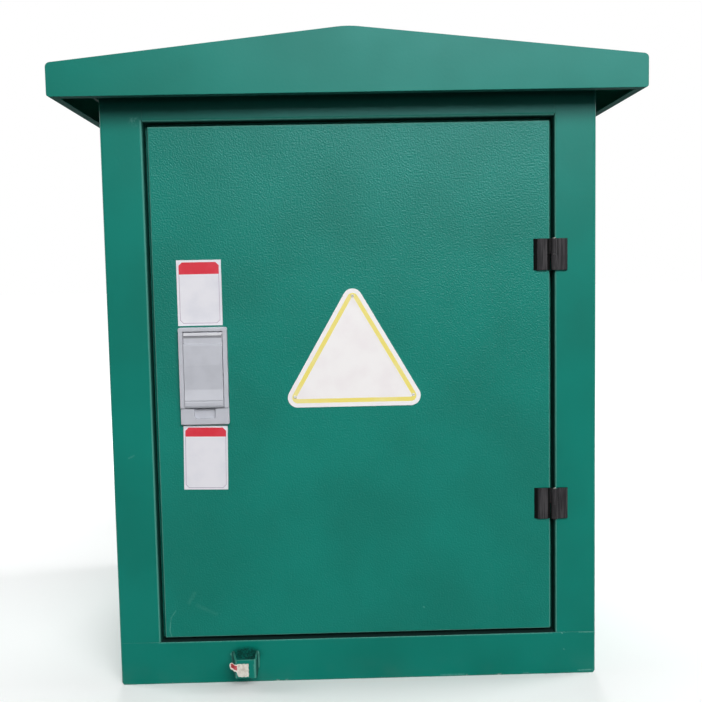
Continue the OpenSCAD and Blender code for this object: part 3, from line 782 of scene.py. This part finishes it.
def bolts(name, body, slot, finish, size, axis, places):
    """Bolt heads at places, standing along an axis."""
    mesh = bmesh.new()
    turn = Vector(axis).to_track_quat("Z", "Y").to_matrix()
    for step, place in enumerate(places):
        made = bolt(size, BOLT_HEAD, BOLT_FLANGE)
        spin = Matrix.Rotation(0.7 * step, 3, "Z")
        bmesh.ops.rotate(made, verts=made.verts, cent=(0, 0, 0), matrix=turn @ spin)
        bmesh.ops.translate(made, verts=made.verts, vec=place)
        join(mesh, made)
    piece(name, mesh, body, slot, finish)


# Sizes of the bolts, and how far they stand from the edges of what they hold
SHEET_BOLT = 0.006
EARTH_BOLT = 0.008
HINGE_NUT = 0.0045
COVER_MARGIN = 0.011
FLOOR_MARGIN = 0.022
EARTH_BOLT_MARGIN = 0.013
EARTH_FOOT_THICKNESS = 0.004
HINGE_NUT_MARGIN = 0.008
HINGE_NUT_RISE = 0.014
DOOR_SHEET = 0.002


def fasteners():
    """Bolts of the rear cover, the floor and the earth bar, and the nuts of the hinges inside the door."""
    low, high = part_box("rear_cover")
    x = high[0] - COVER_MARGIN
    bottom, top = low[2] + COVER_MARGIN, high[2] - COVER_MARGIN
    rise = (top - bottom) / 4.0
    places = [(side * x, high[1], bottom + step * rise) for side in (-1, 1) for step in range(5)]
    places += [(side * x / 2.0, high[1], z) for side in (-1, 0, 1) for z in (bottom, top)]
    bolts("rear_cover_bolts", "cabinet", "bright_steel", bright_steel, SHEET_BOLT, (0, 1, 0), places)

    front_low, front_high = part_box("floor_front_plate")
    rear_low, rear_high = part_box("floor_rear_plate")
    x = front_high[0] - FLOOR_MARGIN
    rows = (front_low[1] + 0.025, front_high[1] - 0.02, rear_low[1] + 0.02, 0.13, rear_high[1] - 0.018)
    places = [(side * x, y, front_high[2]) for side in (-1, 1) for y in rows]
    bolts("floor_bolts", "cabinet", "bright_steel", bright_steel, SHEET_BOLT, (0, 0, 1), places)

    low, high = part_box("earth_bar")
    middle = (low[1] + high[1]) / 2.0
    x = high[0] - EARTH_BOLT_MARGIN
    places = [(side * x, middle, low[2] + EARTH_FOOT_THICKNESS) for side in (-1, 1)]
    bolts("earth_bar_bolts", "cabinet", "bright_steel", bright_steel, EARTH_BOLT, (0, 0, 1), places)

    places = []
    for hinge in ("upper_hinge_door_leaf", "lower_hinge_door_leaf"):
        low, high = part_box(hinge)
        middle = (low[2] + high[2]) / 2.0
        for rise in (-HINGE_NUT_RISE, HINGE_NUT_RISE):
            places.append((low[0] + HINGE_NUT_MARGIN, DOOR_FACE + DOOR_SHEET, middle + rise))
    bolts("hinge_nuts", "door", "bright_steel", bright_steel, HINGE_NUT, (0, 1, 0), places)


fasteners()

# Light that the sky gives, half the floor's side, and where the floor fades to white
SKY_FILL = 0.1
FLOOR_REACH = 30.0
FLOOR_FADE = (0.8, 2.0)


def seen_directly(wire, mirrored=1.0):
    """1 for what the camera shows, mirrored for what a reflection or glass shows, 0 for scattered light."""
    ray = wire.node("ShaderNodeLightPath").socket.node
    kinds = ("Is Camera Ray", "Is Glossy Ray", "Is Transmission Ray")
    straight, glossy, through = (Wire(ray.outputs[kind]) for kind in kinds)
    return (straight + (glossy + through) * mirrored).at_most(1.0)


def make_stage():
    """Pale floor that keeps the shadow, and a pale world."""
    mesh = bmesh.new()
    bmesh.ops.create_grid(mesh, x_segments=1, y_segments=1, size=FLOOR_REACH)
    data = bpy.data.meshes.new("floor")
    mesh.to_mesh(data)
    mesh.free()
    floor = bpy.data.objects.new("floor", data)
    scene.collection.objects.link(floor)

    finish = Finish("floor", Roughness=0.9, Specular_IOR_Level=0.0, Emission_Strength=1.0)
    seen = seen_directly(finish.place)
    x, y, _ = finish.place.parts()
    far = ((x * x + y * y) ** 0.5).ramp(*FLOOR_FADE)
    shown = seen_directly(finish.place, 0.4 + y.ramp(-0.9, -0.2) * 0.6)
    glow = (far * shown).mix((0.0, 0.0, 0.0, 1.0), (1.0, 1.0, 1.0, 1.0))
    tone = seen.mix((0.08, 0.08, 0.08, 1.0), (0.9, 0.9, 0.9, 1.0))
    data.materials.append(finish.feed(Base_Color=tone, Emission_Color=glow))

    world = bpy.data.worlds.new("world")
    scene.world = world
    world.use_nodes = True
    sky = world.node_tree.nodes["Background"]
    sky.inputs["Color"].default_value = (1.0, 1.0, 1.0, 1.0)
    shown = seen_directly(Wire(sky.outputs[0]))
    world.node_tree.links.new((shown * (1.0 - SKY_FILL) + SKY_FILL).socket, sky.inputs["Strength"])


def soft_box(name, where, aim, width, height, power, spread):
    """Area lamp with a grid that keeps its light within the spread, in degrees."""
    data = bpy.data.lights.new(name, "AREA")
    data.shape = "RECTANGLE"
    data.size = width
    data.size_y = height
    data.energy = power
    data.spread = math.radians(spread)
    lamp = bpy.data.objects.new(name, data)
    lamp.location = where
    lamp.rotation_euler = (Vector(aim) - Vector(where)).to_track_quat("-Z", "Y").to_euler()
    scene.collection.objects.link(lamp)


make_stage()
soft_box("front_box", (1.0, -4.2, 2.55), (0.0, -0.3, 0.5), 4.0, 1.9, 48.0, 75.0)
soft_box("left_box", (-4.0, 0.5, 2.6), (0.0, 0.0, 0.5), 2.0, 2.0, 18.0, 70.0)
soft_box("right_box", (4.0, 0.5, 2.6), (0.0, 0.0, 0.5), 2.0, 2.0, 22.0, 70.0)
soft_box("rear_box", (0.0, 4.2, 2.9), (0.0, 0.0, 0.5), 3.0, 1.8, 30.0, 70.0)

scene.view_settings.view_transform = "Standard"
